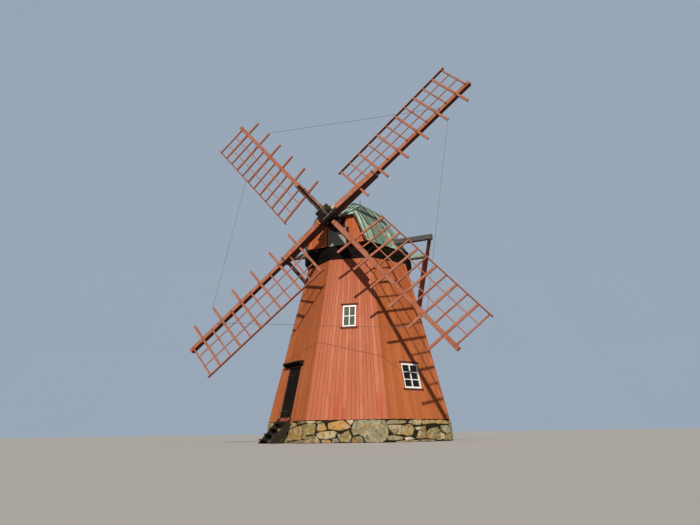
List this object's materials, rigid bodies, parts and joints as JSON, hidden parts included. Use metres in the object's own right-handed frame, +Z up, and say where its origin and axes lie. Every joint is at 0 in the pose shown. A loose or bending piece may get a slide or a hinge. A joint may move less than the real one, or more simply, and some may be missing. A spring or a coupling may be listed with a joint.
{
  "type": "smock windmill",
  "caption": "Octagonal boarded smock windmill on a stone plinth, with a copper-roofed turning cap, lattice sails and a hinged door.",
  "frame": {"origin": "the tower's axis at the level of the ground, on the underside of the plinth's centre pier", "axes": "+Z up along the tower's axis; the front wall faces -Y and the door wall is the next one towards -X"},
  "size_m": [10.4064, 10.1909, 12.9522],
  "materials": {
    "stone": "rough rubble, lichened",
    "red_boards": "matt red ochre paint",
    "dark_red_wood": "matt red ochre paint",
    "sail_wood": "matt red ochre paint, weathered",
    "bare_wood": "sawn, unpainted",
    "grey_wood": "weathered grey",
    "black_wood": "tarred",
    "white_wood": "white gloss paint",
    "glass": "clear",
    "copper": "verdigris",
    "hub_wood": "oiled and weathered",
    "iron": "matt"
  },
  "bodies": {
    "tower": {"stone_plinth": "stone", "ground_floor": "bare_wood", "upper_floor": "bare_wood", "front_wall": "red_boards", "front_right_wall": "red_boards", "right_wall": "red_boards", "back_right_wall": "red_boards", "back_wall": "red_boards", "back_left_wall": "red_boards", "left_wall": "red_boards", "door_wall_left": "red_boards", "door_wall_right": "red_boards", "door_wall_over": "red_boards", "door_frame": "dark_red_wood", "hinge_pins": "iron", "door_hood": "black_wood", "step_stringers": "black_wood", "step_treads": "black_wood", "window_frames": "white_wood", "window_glass": "glass", "window_boards": "dark_red_wood", "skirt": "black_wood", "curb_ring": "bare_wood"},
    "door": {"door_leaf": "black_wood", "door_hinges": "iron"},
    "cap": {"cap_frame": "bare_wood", "shaft_bearings": "bare_wood", "cap_front_wall": "red_boards", "cap_hatch": "grey_wood", "cap_rear_wall": "red_boards", "cap_roof": "copper", "finial": "iron", "long_cross_beam": "grey_wood", "short_cross_beam": "grey_wood", "tail_pole": "dark_red_wood", "tail_braces": "dark_red_wood"},
    "rotor": {"windshaft": "hub_wood", "poll_end": "hub_wood", "sail_stocks": "sail_wood", "upper_right_sail": "sail_wood", "upper_left_sail": "sail_wood", "lower_left_sail": "sail_wood", "lower_right_sail": "sail_wood", "sail_stays": "iron"}
  },
  "joints": [
    {"name": "cap_turn", "type": "hinge", "parent": "tower", "child": "cap", "pos_m": [0, 0, 6.65], "axis": [0, 0, 1], "continuous": true},
    {"name": "rotor_turn", "type": "hinge", "parent": "cap", "child": "rotor", "pos_m": [-0.63805, -2.57822, 7.561], "axis": [-0.2373, -0.959, 0.1547], "continuous": true},
    {"name": "door_swing", "type": "hinge", "parent": "tower", "child": "door", "pos_m": [-2.36635, -1.68753, 1.57146], "axis": [-0.1539, -0.1539, -0.976], "range_deg": [0, 100]}
  ]
}
